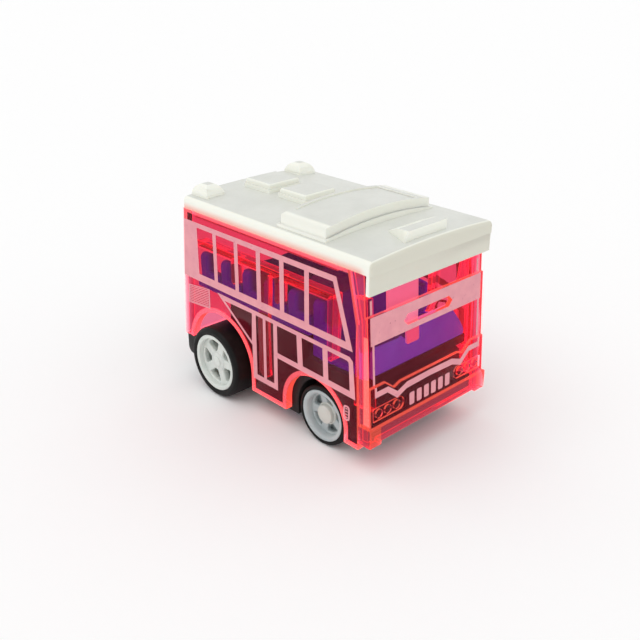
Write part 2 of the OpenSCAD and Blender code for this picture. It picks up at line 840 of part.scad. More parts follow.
module case_half(x_open, x_end) {
    low = min(x_open, x_end);
    high = max(x_open, x_end);
    inner_low = x_open < x_end ? low - past : low + case_wall;
    inner_high = x_open < x_end ? high - case_wall : high + past;
    difference() {
        along_x(low, high) rounded_rect(case_y[0], case_y[1], case_z[0], case_z[1], case_corner_r);
        along_x(inner_low, inner_high)
            rounded_rect(case_y[0] + case_wall, case_y[1] - case_wall,
                         case_z[0] + case_wall, case_z[1] - case_wall, case_corner_r - case_wall);
        rod_x(axle_gear, axle_r + running_gap, low - past, high + past);
        rod_x(transfer_at, pivot_r + running_gap, low - past, high + past);
        rod_x(spring_at, pivot_r + running_gap, low - past, high + past);
    }
}

module motor_case_left() {
    color(base_black) case_half(-seat_gap / 2, -case_w);
}

module motor_case_right() {
    color(base_black) case_half(seat_gap / 2, case_w);
}

// Wheels

shoulder_r = 0.8;
rear_spoke_first = 35;
front_spoke_first = -4;
rear_spoke_w = 1.9;
front_spoke_w = 1.6;
rear_rim_t = 0.85;
front_rim_t = 0.7;
rear_boss_r = 2;
rear_cap_r = 1.1;
rear_cap_in = 0.6;
front_cap_r = 1.9;
front_cap_in = 0.7;
// The hub ends this far inside the tyre's inner and outer faces
hub_in = 0.35;
hub_out = 0.1;
web_x = [0.8, 1.8];
bore_end_in = 1.6;
axle_end_in = 1.7;
rear_out = rear_track / 2;
front_out = front_track / 2;

// Ring on the X axis with rounded outer shoulders, from x0 to x1
module tyre(place, r, hole_r, x0, x1) {
    translate([0, place.x, place.y]) rotate([0, 90, 0]) rotate_extrude($fn = 96) {
        difference() {
            union() {
                translate([hole_r, x0]) square([r - shoulder_r - hole_r, x1 - x0]);
                translate([hole_r, x0 + shoulder_r]) square([r - hole_r, x1 - x0 - 2 * shoulder_r]);
                for (x = [x0 + shoulder_r, x1 - shoulder_r]) {
                    translate([r - shoulder_r, x]) circle(shoulder_r);
                }
            }
            translate([0, x0 - past]) square([hole_r, x1 - x0 + 2 * past]);
        }
    }
}

module rear_tyre() {
    tyre([rear_y, rear_z], rear_r, rear_rim_r + press_gap, rear_out - rear_tyre_w, rear_out);
}

module front_tyre() {
    tyre([front_y, front_z], front_r, front_rim_r + press_gap, front_out - front_tyre_w, front_out);
}

// Wheel with a barrel, a back web, spokes a little behind the rim, and a cap on the boss
module hub(place, rim_r, rim_t, x_in, x_out, spokes, first, spoke_w, spoke_x, boss_r, cap_r, cap_x,
           bore_r, bore_x) {
    difference() {
        union() {
            difference() {
                rod_x(place, rim_r, x_in, x_out);
                rod_x(place, rim_r - rim_t, x_in - past, x_out + past);
            }
            rod_x(place, rim_r - rim_t / 2, x_in + web_x[0], x_in + web_x[1]);
            rod_x(place, boss_r, x_in, spoke_x[1]);
            rod_x(place, cap_r, x_in, cap_x);
            for (i = [0 : spokes - 1]) {
                translate([0, place.x, place.y]) rotate([360 / spokes * i + first, 0, 0])
                    block([spoke_x[0], 0, -spoke_w / 2], [spoke_x[1], rim_r - rim_t / 2, spoke_w / 2]);
            }
        }
        rod_x(place, bore_r, x_in - past, bore_x);
    }
}

module rear_hub() {
    hub([rear_y, rear_z], rear_rim_r, rear_rim_t, rear_out - rear_tyre_w + hub_in, rear_out - hub_out,
        rear_spokes, rear_spoke_first, rear_spoke_w, [rear_out - 2.2, rear_out - 1],
        rear_boss_r, rear_cap_r, rear_out - rear_cap_in, axle_r + press_gap, rear_out - bore_end_in);
}

module front_hub() {
    hub([front_y, front_z], front_rim_r, front_rim_t, front_out - front_tyre_w + hub_in, front_out - hub_out,
        front_spokes, front_spoke_first, front_spoke_w, [front_out - 2.6, front_out - 1.6],
        front_cap_r, front_cap_r, front_out - front_cap_in,
        front_axle_r + press_gap, front_out - bore_end_in);
}

module rear_hub_right() { color(hub_white) rear_hub(); }
module rear_hub_left() { color(hub_white) mirror([1, 0, 0]) rear_hub(); }
module rear_tyre_right() { color(tyre_black) rear_tyre(); }
module rear_tyre_left() { color(tyre_black) mirror([1, 0, 0]) rear_tyre(); }
module front_hub_right() { color(hub_white) front_hub(); }
module front_hub_left() { color(hub_white) mirror([1, 0, 0]) front_hub(); }
module front_tyre_right() { color(tyre_black) front_tyre(); }
module front_tyre_left() { color(tyre_black) mirror([1, 0, 0]) front_tyre(); }

module rear_axle() {
    end_x = rear_out - axle_end_in;
    color(steel_grey) rod_x([rear_y, rear_z], axle_r, -end_x, end_x);
}

module front_axle() {
    end_x = front_out - axle_end_in;
    color(steel_grey) rod_x([front_y, front_z], front_axle_r, -end_x, end_x);
}

body_shell();
front_panel();
roof_lid();
cabin_insert();
chassis();
motor_case_left();
motor_case_right();
mainspring();
spring_gear();
transfer_gear();
axle_pinion();
rear_axle();
rear_hub_left();
rear_hub_right();
rear_tyre_left();
rear_tyre_right();
front_axle();
front_hub_left();
front_hub_right();
front_tyre_left();
front_tyre_right();
chassis_screws();
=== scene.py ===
import json
import math

import bpy
from mathutils import Matrix, Vector


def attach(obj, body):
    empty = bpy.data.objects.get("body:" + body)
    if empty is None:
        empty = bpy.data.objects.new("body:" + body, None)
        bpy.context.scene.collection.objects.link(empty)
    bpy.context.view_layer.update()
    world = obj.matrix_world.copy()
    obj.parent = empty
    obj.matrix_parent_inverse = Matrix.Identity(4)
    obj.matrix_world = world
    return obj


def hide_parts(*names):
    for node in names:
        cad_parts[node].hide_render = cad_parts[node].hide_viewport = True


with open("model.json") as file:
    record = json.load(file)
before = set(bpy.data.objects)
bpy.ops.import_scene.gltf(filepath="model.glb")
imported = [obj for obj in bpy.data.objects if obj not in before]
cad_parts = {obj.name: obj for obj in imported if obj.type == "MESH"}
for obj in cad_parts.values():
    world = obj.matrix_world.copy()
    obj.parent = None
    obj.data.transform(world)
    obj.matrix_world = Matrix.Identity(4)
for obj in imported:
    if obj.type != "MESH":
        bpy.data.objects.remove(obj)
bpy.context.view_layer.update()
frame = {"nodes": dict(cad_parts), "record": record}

mm = 0.001
nodes = frame["nodes"]
joints = {joint["name"]: joint for joint in frame["record"]["behaviour"]["joints"]}


# working habits: pick one object, change it, then give it a finish and a body

mergeDistance = 1e-6


def pickOnly(piece):
    bpy.ops.object.select_all(action="DESELECT")
    piece.select_set(True)
    bpy.context.view_layer.objects.active = piece


def editAll(piece):
    pickOnly(piece)
    bpy.ops.object.mode_set(mode="EDIT")
    bpy.ops.mesh.select_all(action="SELECT")


def leaveEdit():
    bpy.ops.object.mode_set(mode="OBJECT")


def tidyNormals(piece):
    editAll(piece)
    bpy.ops.mesh.remove_doubles(threshold=mergeDistance)
    bpy.ops.mesh.normals_make_consistent(inside=False)
    leaveEdit()


def smoothByAngle(piece, degrees):
    pickOnly(piece)
    bpy.ops.object.shade_smooth_by_angle(angle=math.radians(degrees))


def applyModifier(piece, modifier):
    pickOnly(piece)
    bpy.ops.object.modifier_apply(modifier=modifier.name)


def keepFlats(piece):
    # large faces shade flat, so that only the rounded edges turn the light
    flats = piece.modifiers.new("keepFlats", "WEIGHTED_NORMAL")
    flats.keep_sharp = True
    applyModifier(piece, flats)


def dress(piece, material):
    piece.data.materials.clear()
    piece.data.materials.append(material)
    for face in piece.data.polygons:
        face.material_index = 0


def finishPiece(piece, body, slot, *replaced):
    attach(piece, body)
    if replaced:
        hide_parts(*replaced)


# camera, at the photograph's viewing angle

cameraPlace = {
    "at": (-108.45, -110.64, 88.85), "lookAt": (-13.81, -11.99, 25.04), "roll": 0.23,
    "lens": 46.9, "sensor": 36, "clip": (5, 20000),
}


def addCamera(place):
    at = Vector(place["at"]) * mm
    forward = Vector(place["lookAt"]) * mm - at
    bpy.ops.object.camera_add(location=at)
    camera = bpy.context.object
    turn = forward.to_track_quat("-Z", "Y").to_matrix().to_4x4()
    roll = Matrix.Rotation(math.radians(place["roll"]), 4, "Z")
    camera.matrix_world = Matrix.Translation(at) @ turn @ roll
    camera.data.sensor_width = place["sensor"]
    camera.data.lens = place["lens"]
    camera.data.clip_start = place["clip"][0] * mm
    camera.data.clip_end = place["clip"][1] * mm
    bpy.context.scene.camera = camera


addCamera(cameraPlace)
print("camera placed")


# materials: one shader each, with the detail that moulded plastic, ink and rubber show close up

noiseRoughness = 0.55


def newMaterial(name):
    material = bpy.data.materials.new(name)
    material.use_nodes = True
    return material, material.node_tree, material.node_tree.nodes["Principled BSDF"]


def objectPlace(tree):
    return tree.nodes.new("ShaderNodeTexCoord").outputs["Object"]


def noiseOn(tree, scale, detail=3.0):
    noise = tree.nodes.new("ShaderNodeTexNoise")
    noise.inputs["Scale"].default_value = scale
    noise.inputs["Detail"].default_value = detail
    noise.inputs["Roughness"].default_value = noiseRoughness
    tree.links.new(objectPlace(tree), noise.inputs["Vector"])
    return noise.outputs["Fac"]


def rampOf(tree, source, stops):
    ramp = tree.nodes.new("ShaderNodeValToRGB")
    for element, (place, colour) in zip(ramp.color_ramp.elements, stops):
        element.position = place
        element.color = (*colour, 1)
    tree.links.new(source, ramp.inputs["Fac"])
    return ramp.outputs["Color"]


def rangeOf(tree, source, low, high, sourceLow=0.3, sourceHigh=0.7):
    node = tree.nodes.new("ShaderNodeMapRange")
    node.inputs["From Min"].default_value = sourceLow
    node.inputs["From Max"].default_value = sourceHigh
    node.inputs["To Min"].default_value = low
    node.inputs["To Max"].default_value = high
    tree.links.new(source, node.inputs["Value"])
    return node.outputs["Result"]


def mixOf(tree, factor, first, second):
    mix = tree.nodes.new("ShaderNodeMix")
    mix.data_type = "RGBA"
    tree.links.new(factor, mix.inputs["Factor"])
    for source, socket in ((first, mix.inputs["A"]), (second, mix.inputs["B"])):
        if isinstance(source, tuple):
            socket.default_value = (*source, 1)
        else:
            tree.links.new(source, socket)
    return mix.outputs["Result"]


def stepAlong(tree, vector, axis, low, high):
    # rises softly from 0 to 1 as one part of the vector goes from low to high
    parts = tree.nodes.new("ShaderNodeSeparateXYZ")
    tree.links.new(vector, parts.inputs["Vector"])
    node = tree.nodes.new("ShaderNodeMapRange")
    node.interpolation_type = "SMOOTHSTEP"
    node.inputs["From Min"].default_value = low
    node.inputs["From Max"].default_value = high
    tree.links.new(parts.outputs[axis], node.inputs["Value"])
    return node.outputs["Result"]


def placeStep(tree, axis, span):
    return stepAlong(tree, objectPlace(tree), axis, span[0] * mm, span[1] * mm)


def bumpFrom(tree, shader, source, strength, depth):
    bump = tree.nodes.new("ShaderNodeBump")
    bump.inputs["Strength"].default_value = strength
    bump.inputs["Distance"].default_value = depth * mm
    tree.links.new(source, bump.inputs["Height"])
    tree.links.new(bump.outputs["Normal"], shader.inputs["Normal"])


# the dye takes light along its way through the plastic; a painted glow, pink where it is faint and orange
# where it is strong, stands for the light that gathers at the edges
clearFinish = {
    "tints": [(0.35, (1.0, 0.93, 0.94)), (0.65, (1.0, 0.97, 0.98))], "ior": 1.16,
    "flowScale": 220, "flowDetail": 2.0, "flowBump": 0.05, "flowDepth": 0.05,
    "fineScale": 2600, "rough": (0.015, 0.05), "dye": (0.915, 0.127, 0.389), "dyeDensity": 1000,
    "paintedGlow": [(0.3, (1.0, 0.11, 0.20)), (0.8, (1.0, 0.12, 0.08))], "paintedGlowLevels": (0.03, 0.7),
}


def clearPlastic(name, finish):
    material, tree, shader = newMaterial(name)
    flow = noiseOn(tree, finish["flowScale"], finish["flowDetail"])
    tree.links.new(rampOf(tree, flow, finish["tints"]), shader.inputs["Base Color"])
    bumpFrom(tree, shader, flow, finish["flowBump"], finish["flowDepth"])
    fine = noiseOn(tree, finish["fineScale"])
    tree.links.new(rangeOf(tree, fine, *finish["rough"]), shader.inputs["Roughness"])
    shader.inputs["IOR"].default_value = finish["ior"]
    shader.inputs["Transmission Weight"].default_value = 1
    # painted glow: each face's emission follows its marked share of the painted glow
    attribute = tree.nodes.new("ShaderNodeAttribute")
    attribute.attribute_name = "paintedGlowShare"
    paintedGlowShare = attribute.outputs["Fac"]
    tree.links.new(rampOf(tree, paintedGlowShare, finish["paintedGlow"]), shader.inputs["Emission Color"])
    tree.links.new(rangeOf(tree, paintedGlowShare, *finish["paintedGlowLevels"], 0, 1), shader.inputs["Emission Strength"])
    dye = tree.nodes.new("ShaderNodeVolumeAbsorption")
    dye.inputs["Color"].default_value = (*finish["dye"], 1)
    dye.inputs["Density"].default_value = finish["dyeDensity"]
    tree.links.new(dye.outputs["Volume"], tree.nodes["Material Output"].inputs["Volume"])
    return material


clearPink = clearPlastic("clearPink", clearFinish)

# pale ink with small dark specks, like the pinholes of a print
inkFinish = {
    "cloud": [(0.3, (0.76, 0.29, 0.34)), (0.7, (0.84, 0.34, 0.38))], "cloudScale": 420,
    "holes": [(0.70, (0, 0, 0)), (0.76, (1, 1, 1))], "holeColour": (0.42, 0.10, 0.15), "dustScale": 2300,
    "detail": 2.0, "rough": (0.35, 0.55), "bump": 0.15, "bumpDepth": 0.01,
}


def printedInk(name, finish):
    material, tree, shader = newMaterial(name)
    cloud = rampOf(tree, noiseOn(tree, finish["cloudScale"], finish["detail"]), finish["cloud"])
    dust = noiseOn(tree, finish["dustScale"], finish["detail"])
    holes = rampOf(tree, dust, finish["holes"])
    tree.links.new(mixOf(tree, holes, cloud, finish["holeColour"]), shader.inputs["Base Color"])
    tree.links.new(rangeOf(tree, dust, *finish["rough"]), shader.inputs["Roughness"])
    bumpFrom(tree, shader, dust, finish["bump"], finish["bumpDepth"])
    return material


ink = printedInk("paleInk", inkFinish)

# opaque plastics: the fine grain is this many times finer than the mottling
fineGrain = 9
grainDepth = 0.02
scatterRadius = (1, 0.9, 0.8)
scatterReach = 0.6


def surfaceGrain(tree, shader, finish):
    fine = noiseOn(tree, finish["grain"] * fineGrain)
    tree.links.new(rangeOf(tree, fine, *finish["rough"]), shader.inputs["Roughness"])
    bumpFrom(tree, shader, fine, finish["bump"], grainDepth)


def scatterLight(shader, weight):
    shader.inputs["Subsurface Weight"].default_value = weight
    shader.inputs["Subsurface Radius"].default_value = scatterRadius
    shader.inputs["Subsurface Scale"].default_value = scatterReach * mm


def plastic(name, finish):
    material, tree, shader = newMaterial(name)
    mottle = noiseOn(tree, finish["grain"])
    colour = rampOf(tree, mottle, [(0.35, finish["dark"]), (0.65, finish["light"])])
    tree.links.new(colour, shader.inputs["Base Color"])
    surfaceGrain(tree, shader, finish)
    if "shine" in finish:
        shader.inputs["Specular IOR Level"].default_value = finish["shine"]
    if "scatter" in finish:
        scatterLight(shader, finish["scatter"])
    if "paintedGlow" in finish:
        shader.inputs["Emission Color"].default_value = (*finish["paintedGlow"], 1)
        shader.inputs["Emission Strength"].default_value = 1
    return material


seatPurple = plastic("seatPurple", {
    "dark": (0.10, 0.025, 0.55), "light": (0.14, 0.035, 0.65), "grain": 260, "rough": (0.35, 0.5),
    "bump": 0.08, "shine": 0.2,
})
baseBlack = plastic("baseBlack", {
    "dark": (0.012, 0.011, 0.012), "light": (0.022, 0.020, 0.020), "grain": 300, "rough": (0.32, 0.5),
    "bump": 0.1, "shine": 0.15,
})
tyreRubber = plastic("tyreRubber", {
    "dark": (0.006, 0.006, 0.006), "light": (0.011, 0.010, 0.010), "grain": 420, "rough": (0.42, 0.6),
    "bump": 0.2, "shine": 0.14,
})
hubWhite = plastic("hubWhite", {
    "dark": (0.64, 0.68, 0.64), "light": (0.72, 0.75, 0.71), "grain": 240, "rough": (0.3, 0.42),
    "bump": 0.06, "scatter": 0.2,
})
hubGrey = plastic("hubGrey", {
    "dark": (0.42, 0.47, 0.48), "light": (0.50, 0.54, 0.54), "grain": 240, "rough": (0.3, 0.42),
    "bump": 0.06, "scatter": 0.15,
})
capGrey = plastic("capGrey", {
    "dark": (0.56, 0.56, 0.51), "light": (0.63, 0.63, 0.58), "grain": 240, "rough": (0.32, 0.45),
    "bump": 0.06, "scatter": 0.2,
})
gearWhite = plastic("gearWhite", {
    "dark": (0.74, 0.73, 0.66), "light": (0.82, 0.81, 0.74), "grain": 400, "rough": (0.4, 0.55),
    "bump": 0.1,
})
# its glow stands for the light that it carries down from the roof
tongueWhite = plastic("tongueWhite", {
    "dark": (0.78, 0.79, 0.74), "light": (0.84, 0.85, 0.80), "grain": 200, "rough": (0.3, 0.44),
    "bump": 0.06, "paintedGlow": (0.42, 0.33, 0.42),
})

# light comes in through the clear walls, so what stands close to them is brighter than the aisle
cabinGlow = {
    "aisle": (0.0, 0.0, 0.03), "side": (0.01, 0.0, 0.36), "dash": (0.08, 0.17, 0.85),
    "fadeX": (11.2, 12.9), "fadeY": (-23.2, -22.0),
}


def glowByWalls(material, look):
    tree = material.node_tree
    shader = tree.nodes["Principled BSDF"]
    fromMiddle = tree.nodes.new("ShaderNodeVectorMath")
    fromMiddle.operation = "ABSOLUTE"
    tree.links.new(objectPlace(tree), fromMiddle.inputs[0])
    nearX, farX = look["fadeX"]
    outwards = stepAlong(tree, fromMiddle.outputs["Vector"], "X", nearX * mm, farX * mm)
    seats = mixOf(tree, outwards, look["aisle"], look["side"])
    paintedGlow = mixOf(tree, placeStep(tree, "Y", look["fadeY"]), look["dash"], seats)
    tree.links.new(paintedGlow, shader.inputs["Emission Color"])
    shader.inputs["Emission Strength"].default_value = 1


glowByWalls(seatPurple, cabinGlow)

# the roof lets light through, and its colour carries painted light: painted greyer flats and brighter
# edges, a painted darker tone on the front faces, and a painted pink at its foot for the pink light from
# the body
roofColourAndPaintedLight = {
    "flat": [(0.35, (0.66, 0.67, 0.62)), (0.65, (0.71, 0.72, 0.67))], "flatFrom": (0.9, 0.985),
    "edge": (0.92, 0.93, 0.84), "front": (0.70, 0.69, 0.59), "frontY": (-26.3, -25.9),
    "foot": (0.92, 0.42, 0.34), "footZ": (38.1, 39.8), "footY": (-25.6, -23.5), "underZ": (37.9, 38.1),
    "grain": 160, "rough": (0.3, 0.44), "bump": 0.06, "scatter": 0.25,
}


def paleRoof(name, finish):
    material, tree, shader = newMaterial(name)
    flat = rampOf(tree, noiseOn(tree, finish["grain"]), finish["flat"])
    facing = tree.nodes.new("ShaderNodeNewGeometry").outputs["Normal"]
    # painted shade: upward flats are painted greyer than the edges, which are painted brighter, and the
    # front faces get a darker painted tone
    paintedShadeOnFlats = stepAlong(tree, facing, "Z", *finish["flatFrom"])
    edge = mixOf(tree, placeStep(tree, "Y", finish["frontY"]), finish["front"], finish["edge"])
    body = mixOf(tree, paintedShadeOnFlats, edge, flat)
    # painted pink at the roof's foot, for the pink light that comes through the body
    paintedPinkBehindVisor = mixOf(tree, placeStep(tree, "Y", finish["footY"]), body, finish["foot"])
    foot = mixOf(tree, placeStep(tree, "Z", finish["underZ"]), body, paintedPinkBehindVisor)
    colour = mixOf(tree, placeStep(tree, "Z", finish["footZ"]), foot, body)
    tree.links.new(colour, shader.inputs["Base Color"])
    surfaceGrain(tree, shader, finish)
    scatterLight(shader, finish["scatter"])
    return material


roofWhite = paleRoof("roofWhite", roofColourAndPaintedLight)

steelFinish = {
    "tones": [(0.3, (0.52, 0.53, 0.55)), (0.7, (0.68, 0.69, 0.71))], "scale": 1400, "detail": 4.0,
    "rough": (0.22, 0.4), "bump": 0.1, "bumpDepth": 0.01,
}


def drawnSteel(name, finish):
    material, tree, shader = newMaterial(name)
    streak = noiseOn(tree, finish["scale"], finish["detail"])
    tree.links.new(rampOf(tree, streak, finish["tones"]), shader.inputs["Base Color"])
    tree.links.new(rangeOf(tree, streak, *finish["rough"]), shader.inputs["Roughness"])
    shader.inputs["Metallic"].default_value = 1
    bumpFrom(tree, shader, streak, finish["bump"], finish["bumpDepth"])
    return material


steel = drawnSteel("drawnSteel", steelFinish)
print("materials made")


# mouldings that keep the CAD shape: a merged copy with rounded edges

flatWithin = 0.5
roomShare = 0.42
onLine = 1e-5
roundedSlot = 1


def roomBeside(mesh, edge, face):
    # least distance from the edge's line to the face's other corners
    start, end = (mesh.vertices[i].co for i in edge.vertices)
    along = (end - start).normalized()
    reaches = [mesh.vertices[i].co - start for i in face.vertices]
    distances = [(reach - along * reach.dot(along)).length for reach in reaches]
    return min((distance for distance in distances if distance > onLine), default=1.0)


def weighEdges(piece, edgeWidth, sharpAngle, roundingAt):
    # sharp edges get the full rounding where there is room for it, and less beside narrow faces,
    # or the rounding that is given for their place
    mesh = piece.data
    facesOf = {}
    for face in mesh.polygons:
        for key in face.edge_keys:
            facesOf.setdefault(key, []).append(face)
    weights = mesh.attributes.new("bevel_weight_edge", "FLOAT", "EDGE")
    for edge in mesh.edges:
        sides = facesOf.get(edge.key, [])
        if len(sides) != 2 or sides[0].normal.angle(sides[1].normal, 0.0) <= math.radians(sharpAngle):
            continue
        if roundingAt:
            start, end = (mesh.vertices[i].co for i in edge.vertices)
            weight = roundingAt((start + end) / 2 / mm) / edgeWidth
        else:
            room = min(roomBeside(mesh, edge, face) for face in sides)
            weight = min(1.0, roomShare * room / (edgeWidth * mm))
        weights.data[edge.index].value = weight


def mouldingFrom(node, name, look, material, roundingAt=None):
    piece = bpy.data.objects.new(name, nodes[node].data.copy())
    piece.data.name = name
    bpy.context.scene.collection.objects.link(piece)
    editAll(piece)
    bpy.ops.mesh.remove_doubles(threshold=mergeDistance)
    bpy.ops.mesh.dissolve_limited(angle_limit=math.radians(flatWithin))
    leaveEdit()
    weighEdges(piece, look["edge"], look["sharp"], roundingAt)
    # the rounding goes to a second slot, so that its faces can be told apart
    dress(piece, material)
    piece.data.materials.append(material)
    bevel = piece.modifiers.new("roundEdges", "BEVEL")
    bevel.width = look["edge"] * mm
    bevel.segments = look["segments"]
    bevel.limit_method = "WEIGHT"
    bevel.use_clamp_overlap = roundingAt is None
    bevel.material = roundedSlot
    bevel.miter_outer = "MITER_ARC"
    applyModifier(piece, bevel)
    return piece


def markPaintedGlow(piece, paintedGlowOf):
    # how strongly each face carries the painted glow, from 0 to 1
    marks = piece.data.attributes.new("paintedGlowShare", "FLOAT", "FACE")
    for face in piece.data.polygons:
        marks.data[face.index].value = paintedGlowOf(face)


def finishClear(piece, look, paintedGlowOf, node):
    markPaintedGlow(piece, paintedGlowOf)
    dress(piece, clearPink)
    smoothByAngle(piece, look["smooth"])
    finishPiece(piece, "bus", "clear_pink", node)


bodyLook = {
    "edge": 0.22, "segments": 2, "sharp": 30, "smooth": 30,
    "wallInside": 14.5, "wallEnd": 25.2, "ribPaintedGlow": 0.28, "edgeOn": 0.5,
}


# painted glow: the rounding and the side walls' edge faces glow fully, inner faces less, faces at the rear
# not at all
def bodyPaintedGlow(face):
    at = face.center / mm
    if face.material_index == roundedSlot:
        return 1.0
    if at.y > bodyLook["wallEnd"]:
        return 0.0
    if abs(at.x) < bodyLook["wallInside"]:
        return bodyLook["ribPaintedGlow"]
    return 1.0 if abs(face.normal.x) < bodyLook["edgeOn"] else 0.0


clearBody = mouldingFrom("body_shell", "clear_body", bodyLook, clearPink)
finishClear(clearBody, bodyLook, bodyPaintedGlow, "body_shell")

# flank, flankInside, bumper, bumperEnd and underBumper are painted glow levels
frontLook = {
    "edge": 0.16, "segments": 2, "sharp": 30, "smooth": 30, "sideOn": 0.95, "outsideX": 15.9,
    "flank": 0.42, "flankInside": 0.15, "bumperZ": 9.8, "frontOn": 0.9, "bumper": 0.35,
    "endX": 13.9, "bumperEnd": 0.8, "downOn": 0.5, "underBumper": 0.25, "edgeOn": 0.7,
}


def cutAcross(piece, x):
    editAll(piece)
    bpy.ops.mesh.bisect(plane_co=(x * mm, 0, 0), plane_no=(1, 0, 0))
    leaveEdit()


# painted glow: the rounding and the edge faces glow fully, the flanks and the bumper by set levels
def frontPaintedGlow(face):
    at = face.center / mm
    normal = face.normal
    if face.material_index == roundedSlot:
        return 1.0
    if abs(normal.x) > frontLook["sideOn"]:
        return frontLook["flank"] if abs(at.x) > frontLook["outsideX"] else frontLook["flankInside"]
    onBumper = at.z < frontLook["bumperZ"]
    if onBumper and normal.y < -frontLook["frontOn"]:
        return frontLook["bumperEnd"] if abs(at.x) > frontLook["endX"] else frontLook["bumper"]
    if onBumper and normal.z < -frontLook["downOn"]:
        return frontLook["underBumper"]
    return 1.0 if abs(normal.y) < frontLook["edgeOn"] else 0.0


clearFront = mouldingFrom("front_panel", "clear_front", frontLook, clearPink)
# the bumper's ends have nothing dark behind them, so they are cut off from its middle and get a stronger
# painted glow
for endX in (-frontLook["endX"], frontLook["endX"]):
    cutAcross(clearFront, endX)
finishClear(clearFront, frontLook, frontPaintedGlow, "front_panel")
print("clear mouldings done")


def addMoulding(node, name, look, material, slot, roundingAt=None):
    piece = mouldingFrom(node, name, look, material, roundingAt)
    dress(piece, material)
    smoothByAngle(piece, look["smooth"])
    if look["flats"]:
        keepFlats(piece)
    finishPiece(piece, "bus", slot, node)


roofLook = {
    "edge": 0.9, "segments": 6, "sharp": 22, "smooth": 18, "flats": True,
    "halfX": 16.35, "frontY": -26.45, "rearY": 25.45, "slabZ": 38.5, "cornerEdge": 0.25,
    "hatchZ": 43.05, "hatchHalfX": 4.3, "hatchY": 1.5, "hatchEdge": 0.35,
}


def roofRounding(at):
    onSide = abs(at.x) > roofLook["halfX"]
    onFront = at.y < roofLook["frontY"]
    onRear = at.y > roofLook["rearY"]
    if onSide and onFront:
        return roofLook["cornerEdge"]
    if (onSide or onFront or onRear) and at.z > roofLook["slabZ"]:
        return roofLook["edge"]
    onHatch = at.z > roofLook["hatchZ"] and abs(at.x) < roofLook["hatchHalfX"] and at.y > roofLook["hatchY"]
    return roofLook["hatchEdge"] if onHatch else 0.0


addMoulding("roof_lid", "roof", roofLook, roofWhite, "roof_white", roofRounding)

cabinLook = {"edge": 0.4, "segments": 3, "sharp": 30, "smooth": 40, "flats": False}
addMoulding("cabin_insert", "seats_and_dash", cabinLook, seatPurple, "seat_purple")

baseLook = {"edge": 0.18, "segments": 2, "sharp": 30, "smooth": 35, "flats": False}
addMoulding("chassis", "base", baseLook, baseBlack, "base_black")
print("roof, cabin and base done")


# ways of making plates and turned pieces: those of the sides are made at +X and mirrored

sideShare = 0.45
softSteps = 3
placeDigits = 6


def axleAt(joint):
    y, z = joints[joint]["pos_m"][1:]
    return round(y / mm, placeDigits), round(z / mm, placeDigits)


def turned(name, outline, place, steps):
    # an outline of (radius, x) corners, spun about the axle
    y, z = place
    bpy.ops.object.select_all(action="DESELECT")
    bpy.ops.mesh.primitive_circle_add(vertices=len(outline), fill_type="NOTHING")
    piece = bpy.context.object
    piece.name = name
    for vertex, (radius, x) in zip(piece.data.vertices, outline):
        vertex.co = Vector((x, y, z + radius)) * mm
    editAll(piece)
    bpy.ops.mesh.spin(steps=steps, angle=math.tau, center=(0, y * mm, z * mm), axis=(1, 0, 0))
    leaveEdit()
    tidyNormals(piece)
    return piece


def roundedLoop(corners, radius, steps=5):
    # each corner becomes a short curve that starts and ends on its two sides
    loop = []
    for i, corner in enumerate(corners):
        here = Vector(corner)
        before = Vector(corners[i - 1]) - here
        after = Vector(corners[(i + 1) % len(corners)]) - here
        cut = radius / math.tan(before.angle(after) / 2)
        cut = min(cut, sideShare * before.length, sideShare * after.length)
        start = here + before.normalized() * cut
        end = here + after.normalized() * cut
        for k in range(steps + 1):
            t = k / steps
            loop.append(tuple(start * (1 - t) ** 2 + here * 2 * t * (1 - t) + end * t ** 2))
    return loop


def roundedBox(u, v, radius):
    return roundedLoop([(u[0], v[0]), (u[1], v[0]), (u[1], v[1]), (u[0], v[1])], radius)


def circleLoop(radius, steps):
    angles = [math.tau * k / steps for k in range(steps)]
    return [(radius * math.cos(angle), radius * math.sin(angle)) for angle in angles]


def flatPlate(name, loops, thick, soft=0.0):
    # a filled curve, where a loop inside another one is a hole
    curve = bpy.data.curves.new(name, "CURVE")
    curve.dimensions = "2D"
    curve.fill_mode = "BOTH"
    curve.extrude = (thick / 2 - soft) * mm
    curve.bevel_depth = soft * mm
    curve.offset = -soft * mm
    curve.bevel_resolution = softSteps
    for loop in loops:
        spline = curve.splines.new("POLY")
        spline.points.add(len(loop) - 1)
        for point, (u, v) in zip(spline.points, loop):
            point.co = (u * mm, v * mm, 0, 1)
        spline.use_cyclic_u = True
    piece = bpy.data.objects.new(name, curve)
    bpy.context.scene.collection.objects.link(piece)
    pickOnly(piece)
    bpy.ops.object.convert(target="MESH")
    return bpy.context.object


def settle(piece, turn):
    # the place goes into the mesh, and the object itself stays at the origin
    piece.matrix_world = turn
    pickOnly(piece)
    bpy.ops.object.transform_apply(location=True, rotation=True, scale=True)
    tidyNormals(piece)


def standOnSide(piece, x, place=(0, 0)):
    # the plate's (u, v) become (y, z), and its face looks along +X
    y, z = place
    settle(piece, Matrix(((0, 0, 1, x * mm), (1, 0, 0, y * mm), (0, 1, 0, z * mm), (0, 0, 0, 1))))


def mirrored(piece, name):
    pickOnly(piece)
    bpy.ops.object.duplicate()
    twin = bpy.context.object
    twin.name = name
    twin.data.name = name
    twin.scale.x = -1
    bpy.ops.object.transform_apply(location=False, rotation=False, scale=True)
    tidyNormals(twin)
    return twin


def joined(name, *parts):
    bpy.ops.object.select_all(action="DESELECT")
    for part in parts:
        part.select_set(True)
    whole = parts[0]
    bpy.context.view_layer.objects.active = whole
    bpy.ops.object.join()
    whole.name = name
    whole.data.name = name
    return whole


# wheels: the rim and the cap are turned, and the spokes are a plate with windows

